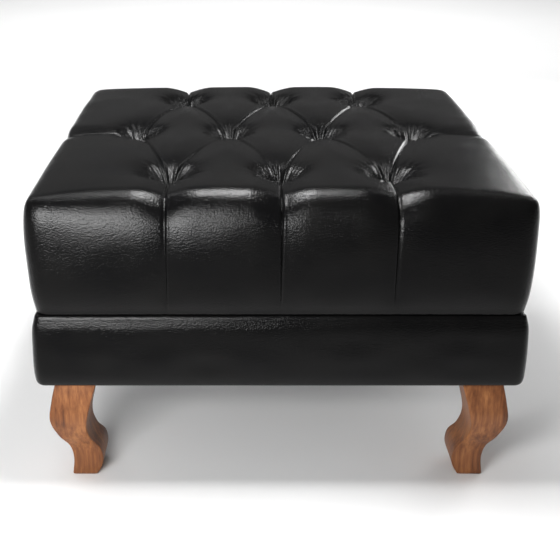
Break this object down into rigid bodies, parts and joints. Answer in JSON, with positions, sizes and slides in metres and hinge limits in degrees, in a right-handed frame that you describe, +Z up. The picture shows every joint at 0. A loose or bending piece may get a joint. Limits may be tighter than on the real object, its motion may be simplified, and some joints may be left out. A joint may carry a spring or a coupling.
{
  "type": "tufted footstool",
  "caption": "Square footstool: a deep-tufted leather cushion on a plain leather-covered box base, carried by short S-curved wooden legs.",
  "frame": {"origin": "on the floor under the middle of the base", "axes": "+X to the stool's right, +Y to its back, +Z up"},
  "size_m": [0.608, 0.598, 0.404],
  "materials": {
    "leather": "glossy smooth black upholstery leather with a fine grain",
    "leg_wood": "satin stained hardwood, upright grain",
    "frame_wood": "planed pine, unfinished",
    "plywood": "sanded plywood",
    "foam": "open-cell foam",
    "wadding": "loose polyester wadding",
    "dust_cloth": "non-woven black dust cloth",
    "twine": "waxed twine",
    "clip_plastic": "natural moulded plastic",
    "zinc_steel": "zinc-plated steel"
  },
  "bodies": {
    "root": {"band_cover": "leather", "dust_cloth": "dust_cloth", "frame_screws": "zinc_steel", "front_cleat": "frame_wood", "front_left_button": "leather", "front_left_clip": "clip_plastic", "front_left_corner_block": "frame_wood", "front_left_leg": "leg_wood", "front_left_twine": "twine", "front_middle_button": "leather", "front_middle_clip": "clip_plastic", "front_middle_twine": "twine", "front_rail": "frame_wood", "front_right_button": "leather", "front_right_clip": "clip_plastic", "front_right_corner_block": "frame_wood", "front_right_leg": "leg_wood", "front_right_twine": "twine", "left_cross_rail": "frame_wood", "left_rail": "frame_wood", "leg_bolts": "zinc_steel", "middle_far_left_button": "leather", "middle_far_left_clip": "clip_plastic", "middle_far_left_twine": "twine", "middle_far_right_button": "leather", "middle_far_right_clip": "clip_plastic", "middle_far_right_twine": "twine", "middle_left_button": "leather", "middle_left_clip": "clip_plastic", "middle_left_twine": "twine", "middle_right_button": "leather", "middle_right_clip": "clip_plastic", "middle_right_twine": "twine", "rear_cleat": "frame_wood", "rear_left_button": "leather", "rear_left_clip": "clip_plastic", "rear_left_corner_block": "frame_wood", "rear_left_leg": "leg_wood", "rear_left_twine": "twine", "rear_middle_button": "leather", "rear_middle_clip": "clip_plastic", "rear_middle_twine": "twine", "rear_rail": "frame_wood", "rear_right_button": "leather", "rear_right_clip": "clip_plastic", "rear_right_corner_block": "frame_wood", "rear_right_leg": "leg_wood", "rear_right_twine": "twine", "right_cross_rail": "frame_wood", "right_rail": "frame_wood", "seat_board": "plywood", "seat_cover": "leather", "seat_foam": "foam", "seat_screws": "zinc_steel", "seat_wadding": "wadding", "threaded_inserts": "zinc_steel"}
  },
  "joints": []
}
